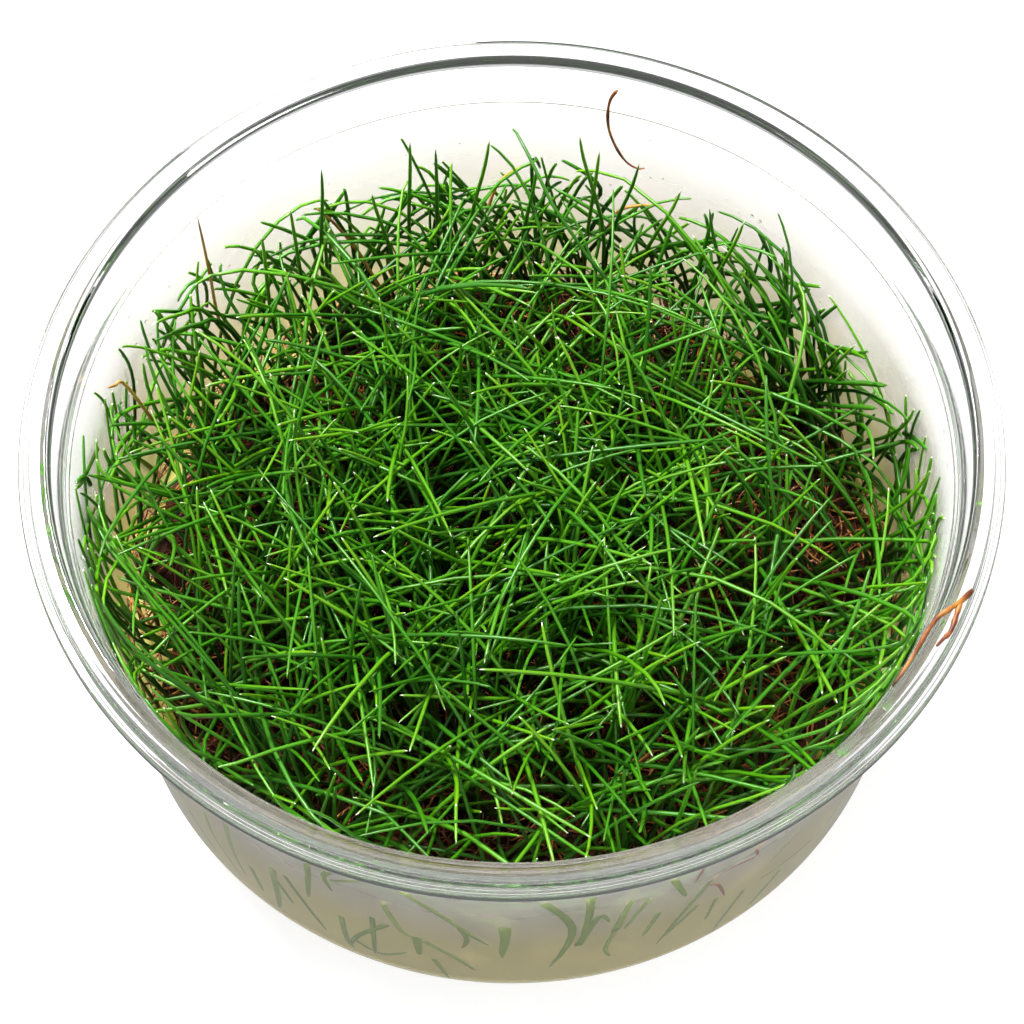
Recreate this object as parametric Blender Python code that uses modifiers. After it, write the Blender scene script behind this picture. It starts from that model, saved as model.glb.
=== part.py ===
"""Dwarf hairgrass grown in an open, clear, round culture cup.

Lengths are in millimetres and are turned into metres where a mesh is made. The origin is the centre of the
cup's foot, +Z is up, and the front of the cup faces -Y.
"""

import math
import random

import bmesh
import bpy
from mathutils import Matrix, Vector, noise

MM = 0.001
GAP = 0.3

# Cup
CUP_HEIGHT = 45.0
WALL = 0.85
FLOOR = 0.9
FOOT_RADIUS = 42.3
SHOULDER_RADIUS = 46.0
SHOULDER_HEIGHT = 37.9
LEDGE_HEIGHT = 38.7
COLLAR_FOOT_RADIUS = 46.0
COLLAR_TOP_RADIUS = 46.85
LEDGE_SLOPE = 0.2
LEDGE_WIDTH_SPARE = 0.15
LIP_RADIUS = 47.1
LIP_WIDTH = 0.6
LIP_DROP = 0.4
STEP_RADIUS = 48.8
STEP_HEIGHT = 44.4
STEP_DROP = 0.8
STEP_SLOPE = 0.1
FLANGE_RADIUS = 50.0
FLANGE_THICKNESS = 1.1
EDGE_ROUND = 0.3
FOOT_ROUND = 2.6
ARC_STEPS = 3
COARSE_ARC_STEPS = 2
CUP_STEPS = 52

# Culture jelly, drawn a little up the wall at its edge
GEL_TOP = 8.0
GEL_DIP = 0.3
GEL_EDGE_WIDTH = 2.0

# Root mat, with low lumps inside a level edge
MAT_TOP = 10.6
MAT_CHAMFER = 0.6
MAT_LUMP = 0.5
MAT_LUMP_SPACING = 9.0
MAT_LEVEL_EDGE = 1.3
MAT_RINGS = 3
MAT_STEPS = 36

# Tufts: a crown each, out of which the leaves grow
RING_SPACING = 12.35
RING_COUNTS = {"centre": 1, "inner": 6, "middle": 12, "outer": 18}
TUFT_FOOT = MAT_TOP + MAT_LUMP + GAP
TUFT_REACH = 5.9
TUFT_SIDES = 7
CROWN_FOOT_RADIUS = 4.3
CROWN_TOP_RADIUS = 5.5
CROWN_DOME = 1.4
CROWN_SHARE = 0.3
CROWN_INSET = 2.3
LEAF_RADIUS = 0.68
LEAF_STUB = 0.9
SWIRL = 0.7
LEAF_SWAY = 0.2
OUTER_LEAF_REACH = (0.8, 1.0)
INNER_LEAF_REACH = (0.3, 0.7)
LEAF_SHORTFALL = 5.5

# Height of the leaf tips: in the middle, and round the edge by the angle from +X
MIDDLE_HEIGHT = 37.0
EDGE_RADIUS = 41.0
EDGE_HEIGHTS = {
    -90: 38.0,
    0: 36.0,
    14: 33.0,
    30: 25.0,
    42: 31.0,
    90: 33.0,
    120: 32.0,
    145: 35.0,
    165: 38.0,
    200: 38.5,
}
TIP_SPREAD = 1.8
HIGHEST_TIP = 39.4

# Loose roots: along the route, each point is an angle round the cup, a radius and a height
RIM_ROOT_RADIUS = 0.34
RIM_ROOT_ROUTE = (
    (-21.4, 48.75, 45.10),
    (-23.2, 48.25, 45.45),
    (-25.2, 47.45, 45.72),
    (-26.6, 46.75, 45.35),
    (-28.4, 46.10, 44.55),
    (-31.5, 45.90, 43.60),
    (-34.0, 45.85, 43.05),
    (-36.2, 45.80, 42.70),
)
RIM_ROOT_BRANCH = (
    (-24.4, 47.75, 45.65),
    (-26.4, 48.00, 45.60),
    (-28.4, 48.15, 45.45),
    (-30.2, 47.90, 45.60),
)
WALL_ROOT_RADIUS = 0.32
WALL_ROOT_ROUTE = (
    (75.6, 45.60, 42.40),
    (76.4, 45.30, 40.80),
    (76.6, 44.55, 39.30),
    (76.3, 44.35, 36.40),
    (75.2, 44.20, 33.60),
    (73.6, 44.00, 31.60),
    (71.9, 43.95, 30.90),
    (70.7, 44.00, 31.20),
)
ROOT_POINTS = 14
ROOT_TAPER = 0.45
BRANCH_THICKNESS = 0.85

# Colours
CLEAR = (0.93, 0.95, 0.95, 0.3)
JELLY = (0.78, 0.74, 0.6, 0.8)
ROOT_BROWN = (0.22, 0.09, 0.035, 1.0)
LEAF_GREEN = (0.075, 0.3, 0.02, 1.0)
DRY_BROWN = (0.3, 0.1, 0.03, 1.0)


def material(name, colour, roughness, transmission=0.0):
    made = bpy.data.materials.new(name)
    made.use_nodes = True
    shader = made.node_tree.nodes["Principled BSDF"]
    shader.inputs["Base Color"].default_value = (*colour[:3], 1.0)
    shader.inputs["Alpha"].default_value = colour[3]
    shader.inputs["Roughness"].default_value = roughness
    shader.inputs["Metallic"].default_value = 0.0
    shader.inputs["Transmission Weight"].default_value = transmission
    made.diffuse_color = colour
    return made


def place(name, mesh, collection, finish, location=(0.0, 0.0, 0.0), turn=0.0):
    """Adds the mesh to the scene as a named object; location is in millimetres."""
    made = bpy.data.objects.new(name, mesh)
    mesh.materials.clear()
    mesh.materials.append(finish)
    made.location = Vector(location) * MM
    made.rotation_euler = (0.0, 0.0, turn)
    collection.objects.link(made)
    return made


def arc(centre, radius, start, end, steps=ARC_STEPS):
    """Points of an arc in the profile's plane, from one angle in degrees to the other."""
    points = []
    for i in range(steps + 1):
        angle = math.radians(start + (end - start) * i / steps)
        points.append((centre[0] + radius * math.cos(angle), centre[1] + radius * math.sin(angle)))
    return points


def turned(name, profile, steps, collection, finish):
    """A profile of (radius, height) points turned about the Z axis."""
    mesh = bpy.data.meshes.new(name)
    points = [(radius * MM, 0.0, height * MM) for radius, height in profile]
    mesh.from_pydata(points, [(i, i + 1) for i in range(len(points) - 1)], [])
    made = place(name, mesh, collection, finish)
    screw = made.modifiers.new("turn", "SCREW")
    screw.steps = steps
    screw.render_steps = steps
    screw.use_merge_vertices = True
    screw.merge_threshold = 0.00002
    screw.use_smooth_shade = True
    return made


def outer_radius(height):
    """Outside radius of the tapered body at a height above the foot."""
    return FOOT_RADIUS + (SHOULDER_RADIUS - FOOT_RADIUS) * height / SHOULDER_HEIGHT


def inner_radius(height):
    return outer_radius(height) - WALL


def cup_profile():
    """From the middle of the cup's floor, up the inside, over the rim and down the outside."""
    inner_round = FOOT_ROUND - WALL
    inner_corner = (inner_radius(FLOOR + inner_round) - inner_round, FLOOR + inner_round)
    flange_top = STEP_HEIGHT - STEP_DROP
    flange_bottom = flange_top - FLANGE_THICKNESS
    edge = FLANGE_RADIUS - EDGE_ROUND
    inside = [(0.0, FLOOR)]
    inside += arc(inner_corner, inner_round, -90, 0, COARSE_ARC_STEPS)
    inside += [
        (inner_radius(LEDGE_HEIGHT), LEDGE_HEIGHT),
        (COLLAR_FOOT_RADIUS - LEDGE_WIDTH_SPARE, LEDGE_HEIGHT + LEDGE_SLOPE),
        (COLLAR_TOP_RADIUS, CUP_HEIGHT - LIP_DROP),
    ]
    rim = [
        (LIP_RADIUS, CUP_HEIGHT),
        (LIP_RADIUS + LIP_WIDTH, CUP_HEIGHT),
        (STEP_RADIUS, STEP_HEIGHT),
        (STEP_RADIUS + STEP_SLOPE, flange_top),
    ]
    rim += arc((edge, flange_top - EDGE_ROUND), EDGE_ROUND, 90, 0, COARSE_ARC_STEPS)
    rim += arc((edge, flange_bottom + EDGE_ROUND), EDGE_ROUND, 0, -90, COARSE_ARC_STEPS)
    outside = [
        (COLLAR_TOP_RADIUS + WALL, flange_bottom + LEDGE_SLOPE),
        (COLLAR_FOOT_RADIUS + WALL, LEDGE_HEIGHT - LEDGE_SLOPE),
        (SHOULDER_RADIUS, SHOULDER_HEIGHT),
    ]
    outside += arc((outer_radius(FOOT_ROUND) - FOOT_ROUND, FOOT_ROUND), FOOT_ROUND, 0, -90)
    outside.append((0.0, 0.0))
    return inside + rim + outside


def gel_profile():
    """From the middle of the jelly's top, out to the wall, down it and back along the cup's floor."""
    bottom = FLOOR + GAP
    corner = FOOT_ROUND - WALL
    side = inner_radius(bottom + corner) - GAP
    edge = inner_radius(GEL_TOP) - GAP
    return [
        (0.0, GEL_TOP - GEL_DIP),
        (edge - GEL_EDGE_WIDTH, GEL_TOP - GEL_DIP),
        (edge, GEL_TOP),
        (side, bottom + corner),
        (side - corner, bottom),
        (0.0, bottom),
    ]


def root_mat_mesh():
    """A disc whose upper side is inset into rings and raised into low lumps."""
    top = MAT_TOP
    bottom = GEL_TOP + GAP
    work = bmesh.new()
    bmesh.ops.create_cone(
        work,
        cap_ends=True,
        segments=MAT_STEPS,
        radius1=(inner_radius(bottom) - GAP) * MM,
        radius2=(inner_radius(top) - GAP - MAT_CHAMFER) * MM,
        depth=(top - bottom) * MM,
        matrix=Matrix.Translation((0.0, 0.0, (top + bottom) / 2 * MM)),
    )
    work.faces.ensure_lookup_table()
    cap = max(work.faces, key=lambda face: face.calc_center_median().z)
    ring = inner_radius(top) / (MAT_RINGS + 1) * MM
    for _ in range(MAT_RINGS):
        bmesh.ops.inset_region(work, faces=[cap], thickness=ring)
        cap = max(work.faces, key=lambda face: (len(face.verts), face.calc_center_median().z))
    bmesh.ops.poke(work, faces=[cap])
    middle = (top + bottom) / 2 * MM
    for vert in work.verts:
        if vert.co.z > middle and vert.co.xy.length < (inner_radius(top) - MAT_LEVEL_EDGE) * MM:
            vert.co.z += MAT_LUMP * MM * noise.noise(vert.co / (MAT_LUMP_SPACING * MM))
    mesh = bpy.data.meshes.new("root_mat")
    work.to_mesh(mesh)
    work.free()
    return mesh


def grow_leaf(work, face, tip):
    """Draws one face of the crown out into a leaf: thin from just above the crown, and pointed."""
    grown = bmesh.ops.extrude_discrete_faces(work, faces=[face])["faces"][0]
    root = grown.calc_center_median()
    rise = (tip - root).normalized() * LEAF_STUB * MM
    for vert in grown.verts:
        vert.co = root + rise + (vert.co - root).normalized() * LEAF_RADIUS * MM
    point = bmesh.ops.poke(work, faces=[grown])["verts"][0]
    point.co = tip


def tuft_mesh(name, tip_height, seed):
    """A low crown, with a leaf drawn out of each face of its domed top."""
    draw = random.Random(seed)
    height = tip_height - TUFT_FOOT
    crown_height = height * CROWN_SHARE
    work = bmesh.new()
    bmesh.ops.create_cone(
        work,
        cap_ends=True,
        segments=TUFT_SIDES,
        radius1=CROWN_FOOT_RADIUS * MM,
        radius2=CROWN_TOP_RADIUS * MM,
        depth=crown_height * MM,
        matrix=Matrix.Translation((0.0, 0.0, crown_height / 2 * MM)),
    )
    work.faces.ensure_lookup_table()
    cap = max(work.faces, key=lambda face: face.calc_center_median().z)
    outer = bmesh.ops.inset_region(work, faces=[cap], thickness=CROWN_INSET * MM)["faces"]
    for vert in cap.verts:
        vert.co.z += CROWN_DOME * MM
    inner = bmesh.ops.poke(work, faces=[cap])["faces"]
    swirl = draw.uniform(-SWIRL, SWIRL)
    for face in outer + inner:
        root = face.calc_center_median()
        outward = Vector((root.x, root.y, 0.0)).normalized()
        reach = draw.uniform(*(OUTER_LEAF_REACH if face in outer else INNER_LEAF_REACH))
        swing = Matrix.Rotation(swirl + draw.uniform(-LEAF_SWAY, LEAF_SWAY), 3, "Z")
        tip = swing @ outward * (reach * TUFT_REACH * MM)
        tip.z = (height - draw.uniform(0.0, LEAF_SHORTFALL)) * MM
        grow_leaf(work, face, tip)
    mesh = bpy.data.meshes.new(name)
    work.to_mesh(mesh)
    work.free()
    return mesh


def edge_height(angle):
    """Height of the leaf tips at the wall, read between the named angles, in degrees."""
    angles = sorted(EDGE_HEIGHTS)
    first = angles[0]
    angle = (angle - first) % 360 + first
    for low, high in zip(angles, angles[1:] + [first + 360]):
        if angle <= high:
            low_height = EDGE_HEIGHTS[low]
            high_height = EDGE_HEIGHTS.get(high, EDGE_HEIGHTS[first])
            return low_height + (high_height - low_height) * (angle - low) / (high - low)
    return EDGE_HEIGHTS[first]


def tip_height_at(x, y, draw):
    """The grass is lower behind, and lowest behind at the right."""
    edge = edge_height(math.degrees(math.atan2(y, x)))
    share = (math.hypot(x, y) / EDGE_RADIUS) ** 2
    height = MIDDLE_HEIGHT + (edge - MIDDLE_HEIGHT) * share
    return min(height + draw.uniform(-TIP_SPREAD, TIP_SPREAD), HIGHEST_TIP)


def add_tufts(collection, finish):
    draw = random.Random(11)
    for ring, (ring_name, count) in enumerate(RING_COUNTS.items()):
        start = draw.uniform(0.0, math.tau)
        for i in range(count):
            angle = start + math.tau * i / count
            x = ring * RING_SPACING * math.cos(angle)
            y = ring * RING_SPACING * math.sin(angle)
            name = f"tuft_{ring_name}" if count == 1 else f"tuft_{ring_name}_{i + 1:02d}"
            mesh = tuft_mesh(name, tip_height_at(x, y, draw), seed=100 * ring + i)
            place(name, mesh, collection, finish, (x, y, TUFT_FOOT), draw.uniform(0.0, math.tau))


def smooth_route(points, count):
    """Evenly numbered points on a smooth curve through the route's own points."""
    padded = [points[0] * 2 - points[1], *points, points[-1] * 2 - points[-2]]
    spans = len(points) - 1
    route = []
    for i in range(count):
        along = spans * i / (count - 1)
        span = min(int(along), spans - 1)
        t = along - span
        a, b, c, d = padded[span : span + 4]
        route.append(
            0.5 * ((2 * b) + (c - a) * t + (2 * a - 5 * b + 4 * c - d) * t**2 + (3 * b - a - 3 * c + d) * t**3)
        )
    return route


def around_cup(route):
    """Turns (angle, radius, height) points into places in millimetres."""
    places = []
    for angle, radius, height in route:
        turn = math.radians(angle)
        places.append(Vector((radius * math.cos(turn), radius * math.sin(turn), height)))
    return places


def root_strand(name, route, radius, collection, finish):
    """A thin tube along the route, thinner at its far end, as one closed mesh."""
    curve = bpy.data.curves.new(name, "CURVE")
    curve.dimensions = "3D"
    curve.bevel_depth = radius * MM
    curve.bevel_resolution = 1
    curve.use_fill_caps = True
    points = smooth_route(around_cup(route), ROOT_POINTS)
    spline = curve.splines.new("POLY")
    spline.points.add(len(points) - 1)
    for i, point in enumerate(points):
        spline.points[i].co = (*(point * MM), 1.0)
        spline.points[i].radius = 1.0 - ROOT_TAPER * i / (len(points) - 1)
    drawn = bpy.data.objects.new(name + "_curve", curve)
    collection.objects.link(drawn)
    depsgraph = bpy.context.evaluated_depsgraph_get()
    mesh = bpy.data.meshes.new_from_object(drawn.evaluated_get(depsgraph))
    mesh.name = name
    work = bmesh.new()
    work.from_mesh(mesh)
    bmesh.ops.remove_doubles(work, verts=work.verts, dist=0.000001)
    bmesh.ops.recalc_face_normals(work, faces=work.faces)
    work.to_mesh(mesh)
    work.free()
    mesh.shade_smooth()
    made = place(name, mesh, collection, finish)
    made.matrix_world = drawn.matrix_world
    bpy.data.objects.remove(drawn)
    return made


def add_rim_root(collection, helpers, finish):
    """The forked root: its side branch is joined to the main strand."""
    main = root_strand("rim_root", RIM_ROOT_ROUTE, RIM_ROOT_RADIUS, collection, finish)
    thickness = RIM_ROOT_RADIUS * BRANCH_THICKNESS
    branch = root_strand("rim_root_branch", RIM_ROOT_BRANCH, thickness, helpers, finish)
    branch.hide_render = True
    branch.display_type = "WIRE"
    union = main.modifiers.new("join branch", "BOOLEAN")
    union.operation = "UNION"
    union.object = branch


def main():
    for old in list(bpy.data.objects):
        bpy.data.objects.remove(old)
    collection = bpy.data.collections.new("dwarf_hairgrass_cup")
    helpers = bpy.data.collections.new("helpers")
    bpy.context.scene.collection.children.link(collection)
    bpy.context.scene.collection.children.link(helpers)

    turned("cup", cup_profile(), CUP_STEPS, collection, material("clear_plastic", CLEAR, 0.12, 0.9))
    turned("culture_gel", gel_profile(), CUP_STEPS, collection, material("culture_gel", JELLY, 0.35, 0.3))
    place("root_mat", root_mat_mesh(), collection, material("root_mat", ROOT_BROWN, 0.8))
    add_tufts(collection, material("grass", LEAF_GREEN, 0.42))
    dry = material("dry_root", DRY_BROWN, 0.6)
    add_rim_root(collection, helpers, dry)
    root_strand("wall_root", WALL_ROOT_ROUTE, WALL_ROOT_RADIUS, collection, dry)


main()
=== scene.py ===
"""Looks for the dwarf hairgrass in its clear culture cup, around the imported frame.

Lengths below are in millimetres unless a name says otherwise, and MM turns them into metres.
"""
import math

import bmesh
import bpy
import numpy as np
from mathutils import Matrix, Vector


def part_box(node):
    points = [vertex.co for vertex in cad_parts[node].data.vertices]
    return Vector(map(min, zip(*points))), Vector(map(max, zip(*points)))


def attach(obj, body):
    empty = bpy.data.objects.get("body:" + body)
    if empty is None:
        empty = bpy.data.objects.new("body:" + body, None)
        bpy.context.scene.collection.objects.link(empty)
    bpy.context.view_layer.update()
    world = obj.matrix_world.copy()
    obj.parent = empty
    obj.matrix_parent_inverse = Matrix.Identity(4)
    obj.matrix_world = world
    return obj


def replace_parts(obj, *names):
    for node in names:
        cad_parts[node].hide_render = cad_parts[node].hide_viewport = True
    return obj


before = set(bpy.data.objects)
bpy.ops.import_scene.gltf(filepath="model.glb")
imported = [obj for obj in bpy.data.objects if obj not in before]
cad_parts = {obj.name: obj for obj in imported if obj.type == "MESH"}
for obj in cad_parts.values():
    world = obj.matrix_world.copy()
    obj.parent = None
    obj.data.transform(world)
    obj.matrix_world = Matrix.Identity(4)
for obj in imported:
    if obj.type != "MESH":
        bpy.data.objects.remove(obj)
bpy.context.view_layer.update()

MM = 0.001
SEED = 7

# Cup, as the frame has it
CUP_HEIGHT = 45.0
WALL = 0.85
FLOOR = 0.9
FOOT_RADIUS = 42.3
SHOULDER_RADIUS = 46.0
SHOULDER_HEIGHT = 37.9
LEDGE_HEIGHT = 38.7
COLLAR_FOOT_RADIUS = 46.0
COLLAR_TOP_RADIUS = 46.85
COLLAR_WALL = 0.6
FLANGE_RADIUS = 50.0
STEP_RADIUS = 48.8
STEP_HEIGHT = 44.4
FLANGE_TOP = 43.6
FLANGE_BOTTOM = 42.5
FOOT_ROUND = 2.6
CUP_STEPS = 288
RIM_GROOVE = 0.06
MIST_CLEAR = 39.0
MIST_THICK = 9.0
MIST_PATCHES = 0.3

# Jelly and root mat
GEL_TOP = 8.0
MAT_TOP = 10.6
GAP = 0.3

# Leaves
LEAVES_PER_TUFT = 42
LEAF_SIDES = 5
LEAF_RADIUS = (0.17, 0.27)
LEAF_STATIONS = (0.0, 0.06, 0.16, 0.28, 0.42, 0.56, 0.7, 0.83, 0.93, 0.985, 1.0)
LEAF_GAUGE = (1.1, 1.1, 1.08, 1.05, 1.02, 1.0, 0.96, 0.9, 0.8, 0.62, 0.1)
WALL_CLEARANCE = 0.42
TOP_LIMIT = 42.0
TOP_SOFTNESS = 2.0
WALL_SOFTNESS = 3.5

# Camera
CAMERA_ELEVATION = 59.88
CAMERA_DISTANCE = 350.0
CAMERA_PITCH = 61.19
FOCAL_PIXELS = 3464.0
FRAME_PIXELS = 1024.0
SENSOR_WIDTH = 36.0


def outer_radius(height):
    """Outside radius of the tapered body at a height above the foot."""
    return FOOT_RADIUS + (SHOULDER_RADIUS - FOOT_RADIUS) * height / SHOULDER_HEIGHT


def inner_radius(height):
    """Inside radius of the cup, with the collar's step above the ledge."""
    body = outer_radius(height) - WALL
    collar = COLLAR_FOOT_RADIUS + (COLLAR_TOP_RADIUS - COLLAR_FOOT_RADIUS) * (height - LEDGE_HEIGHT) / 6.0
    return np.where(np.asarray(height) > LEDGE_HEIGHT + 0.3, collar, body)


def arc(centre, radius, start, end, steps=6):
    """Points of an arc in a profile's plane, from one angle in degrees to the other."""
    points = []
    for i in range(steps + 1):
        angle = math.radians(start + (end - start) * i / steps)
        points.append((centre[0] + radius * math.cos(angle), centre[1] + radius * math.sin(angle)))
    return points


# Node helpers for the materials
class Shader:
    """A Principled material under construction."""

    def __init__(self, name):
        self.material = bpy.data.materials.new(name)
        self.material.use_nodes = True
        self.tree = self.material.node_tree
        self.principled = self.tree.nodes["Principled BSDF"]
        self.output = self.tree.nodes["Material Output"]

    def set(self, **values):
        for key, value in values.items():
            self.principled.inputs[key.replace("_", " ")].default_value = value
        return self

    def add(self, kind, **settings):
        made = self.tree.nodes.new(kind)
        for key, value in settings.items():
            setattr(made, key, value)
        return made

    def link(self, source, target):
        self.tree.links.new(source, target)

    def noise(self, scale, detail=3.0, roughness=0.55, vector=None):
        made = self.add("ShaderNodeTexNoise")
        made.inputs["Scale"].default_value = scale
        made.inputs["Detail"].default_value = detail
        made.inputs["Roughness"].default_value = roughness
        if vector is None:
            vector = self.add("ShaderNodeTexCoord").outputs["Object"]
        self.link(vector, made.inputs["Vector"])
        return made.outputs["Fac"]

    def ramp(self, factor, stops):
        made = self.add("ShaderNodeValToRGB")
        elements = made.color_ramp.elements
        while len(elements) < len(stops):
            elements.new(0.5)
        for element, (position, colour) in zip(elements, stops):
            element.position = position
            element.color = (*colour, 1.0)
        self.link(factor, made.inputs["Fac"])
        return made.outputs["Color"]

    def range(self, value, low, high, to_low=0.0, to_high=1.0):
        made = self.add("ShaderNodeMapRange")
        for key, number in zip(("From Min", "From Max", "To Min", "To Max"), (low, high, to_low, to_high)):
            made.inputs[key].default_value = number
        self.link(value, made.inputs["Value"])
        return made.outputs["Result"]

    def mix(self, factor, first, second, blend="MIX"):
        made = self.add("ShaderNodeMix", data_type="RGBA", blend_type=blend)
        if isinstance(factor, float):
            made.inputs["Factor"].default_value = factor
        else:
            self.link(factor, made.inputs["Factor"])
        for key, value in (("A", first), ("B", second)):
            socket = next(s for s in made.inputs if s.name == key and s.type == "RGBA")
            if isinstance(value, tuple):
                socket.default_value = (*value, 1.0)
            else:
                self.link(value, socket)
        return next(s for s in made.outputs if s.type == "RGBA")

    def math(self, operation, first, second):
        made = self.add("ShaderNodeMath", operation=operation)
        for socket, value in zip(made.inputs, (first, second)):
            if isinstance(value, float):
                socket.default_value = value
            else:
                self.link(value, socket)
        return made.outputs[0]

    def bump(self, height, strength, distance_mm):
        made = self.add("ShaderNodeBump")
        made.inputs["Strength"].default_value = strength
        made.inputs["Distance"].default_value = distance_mm * MM
        self.link(height, made.inputs["Height"])
        self.link(made.outputs["Normal"], self.principled.inputs["Normal"])


def clear_plastic():
    shader = Shader("clear_plastic")
    shader.set(Base_Color=(0.985, 0.99, 0.99, 1.0), Transmission_Weight=1.0, IOR=1.49, Roughness=0.015)
    return shader.material


def misted_plastic():
    """The inside of the body under fine condensation: thicker and yellower low down, thin by the ledge."""
    shader = Shader("misted_plastic")
    shader.set(IOR=1.4)
    split = shader.add("ShaderNodeSeparateXYZ")
    shader.link(shader.add("ShaderNodeTexCoord").outputs["Object"], split.inputs["Vector"])
    low = shader.range(split.outputs["Z"], MIST_CLEAR * MM, MIST_THICK * MM)
    cloud = shader.noise(70.0, 4.0)
    mist = shader.math("MULTIPLY_ADD", cloud, MIST_PATCHES)
    shader.link(low, mist.node.inputs[2])
    rough = shader.range(mist, 0.2, 1.2, 0.15, 0.45)
    shader.link(rough, shader.principled.inputs["Roughness"])
    clear = shader.range(mist, 0.1, 1.2, 0.86, 0.4)
    shader.link(clear, shader.principled.inputs["Transmission Weight"])
    tint = shader.ramp(mist, [
        (0.15, (0.92, 0.91, 0.91)),
        (0.55, (0.78, 0.69, 0.6)),
        (0.95, (0.66, 0.57, 0.2)),
    ])
    foot = shader.range(split.outputs["Z"], 4.0 * MM, 2.0 * MM)
    tint = shader.mix(foot, tint, (0.6, 0.5, 0.05))
    shader.link(tint, shader.principled.inputs["Base Color"])
    shader.bump(shader.noise(1100.0, 2.0), 0.15, 0.05)
    return shader.material


def grass_leaf():
    """Fresh green, paler and yellower right at the foot, darkened over the lower part of each leaf as painted
    shade of the lower layers, with a light speck on many tips and some dry leaves.
    """
    shader = Shader("grass_leaf")
    shader.set(Roughness=0.36, Specular_IOR_Level=0.5, Subsurface_Weight=0.0)
    traits = shader.add("ShaderNodeAttribute", attribute_name="traits")
    split = shader.add("ShaderNodeSeparateColor")
    shader.link(traits.outputs["Color"], split.inputs["Color"])
    along, chance, dry = split.outputs
    # Darker over the lower part of each leaf: painted shade of the lower layers of the grass, lightest towards the
    # tip.
    green_with_painted_shade = shader.ramp(along, [
        (0.0, (0.05, 0.06, 0.005)),
        (0.2, (0.012, 0.055, 0.0015)),
        (0.5, (0.025, 0.13, 0.0015)),
        (0.75, (0.048, 0.23, 0.002)),
        (0.97, (0.07, 0.25, 0.004)),
    ])
    variety = shader.ramp(chance, [
        (0.0, (0.4, 0.6, 0.5)),
        (0.5, (0.9, 1.0, 0.9)),
        (1.0, (2.0, 1.4, 1.0)),
    ])
    fresh = shader.mix(1.0, green_with_painted_shade, variety, "MULTIPLY")
    speck = shader.math("MULTIPLY", shader.range(along, 0.988, 0.995), shader.range(chance, 0.55, 0.6))
    tipped = shader.mix(speck, fresh, (0.75, 0.8, 0.62))
    brown = shader.ramp(shader.noise(120.0), [(0.3, (0.28, 0.1, 0.02)), (0.7, (0.72, 0.4, 0.08))])
    colour = shader.mix(dry, tipped, brown)
    shader.link(colour, shader.principled.inputs["Base Color"])
    shader.bump(shader.noise(2600.0, 2.0), 0.12, 0.04)
    return shader.material


def wet_leaf_painted_reflection():
    """A leaf under a film of water, greyer than the ones that stand free: the grey is painted reflection of the
    pale floor on the wall.
    """
    shader = Shader("wet_leaf_painted_reflection")
    shader.set(Roughness=0.25, Specular_IOR_Level=0.5)
    traits = shader.add("ShaderNodeAttribute", attribute_name="traits")
    split = shader.add("ShaderNodeSeparateColor")
    shader.link(traits.outputs["Color"], split.inputs["Color"])
    # Grey olive colours: painted reflection of the pale floor over the pressed leaves, laid into their own colour.
    colour = shader.ramp(split.outputs[1], [(0.0, (0.13, 0.2, 0.025)), (1.0, (0.26, 0.34, 0.07))])
    shader.link(colour, shader.principled.inputs["Base Color"])
    shader.bump(shader.noise(1200.0), 0.3, 0.08)
    return shader.material


def root_fibre():
    shader = Shader("root_fibre")
    shader.set(Roughness=0.5, Specular_IOR_Level=0.4, Coat_Weight=0.25, Coat_Roughness=0.15)
    traits = shader.add("ShaderNodeAttribute", attribute_name="traits")
    split = shader.add("ShaderNodeSeparateColor")
    shader.link(traits.outputs["Color"], split.inputs["Color"])
    colour = shader.ramp(split.outputs[1], [
        (0.0, (0.03, 0.009, 0.003)),
        (0.4, (0.13, 0.035, 0.008)),
        (0.75, (0.38, 0.11, 0.02)),
        (1.0, (0.66, 0.33, 0.08)),
    ])
    shader.link(colour, shader.principled.inputs["Base Color"])
    shader.bump(shader.noise(1500.0), 0.3, 0.05)
    return shader.material


def mat_soil():
    shader = Shader("mat_soil")
    shader.set(Roughness=0.85, Specular_IOR_Level=0.15)
    colour = shader.ramp(shader.noise(260.0, 5.0), [
        (0.3, (0.010, 0.004, 0.002)),
        (0.55, (0.035, 0.011, 0.004)),
        (0.75, (0.11, 0.036, 0.010)),
    ])
    shader.link(colour, shader.principled.inputs["Base Color"])
    shader.bump(shader.noise(900.0, 5.0), 0.8, 0.4)
    return shader.material


def jelly():
    shader = Shader("culture_jelly")
    shader.set(Transmission_Weight=0.6, IOR=1.34, Roughness=0.3)
    colour = shader.ramp(shader.noise(60.0, 3.0), [(0.3, (0.7, 0.68, 0.16)), (0.7, (0.86, 0.84, 0.3))])
    shader.link(colour, shader.principled.inputs["Base Color"])
    shader.bump(shader.noise(300.0), 0.25, 0.2)
    return shader.material


def dead_root():
    shader = Shader("dead_root")
    shader.set(Roughness=0.45, Specular_IOR_Level=0.5)
    colour = shader.ramp(shader.noise(420.0, 4.0), [
        (0.32, (0.05, 0.012, 0.004)),
        (0.5, (0.24, 0.06, 0.012)),
        (0.68, (0.55, 0.22, 0.03)),
    ])
    shader.link(colour, shader.principled.inputs["Base Color"])
    shader.bump(shader.noise(1800.0), 0.5, 0.08)
    return shader.material


# Mesh helpers
def mesh_object(name, points, faces, *finishes, smooth=True):
    mesh = bpy.data.meshes.new(name)
    mesh.from_pydata([tuple(point) for point in points], [], [tuple(face) for face in faces])
    for finish in finishes:
        mesh.materials.append(finish)
    if smooth:
        mesh.shade_smooth()
    mesh.update()
    made = bpy.data.objects.new(name, mesh)
    bpy.context.scene.collection.objects.link(made)
    return made


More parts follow.
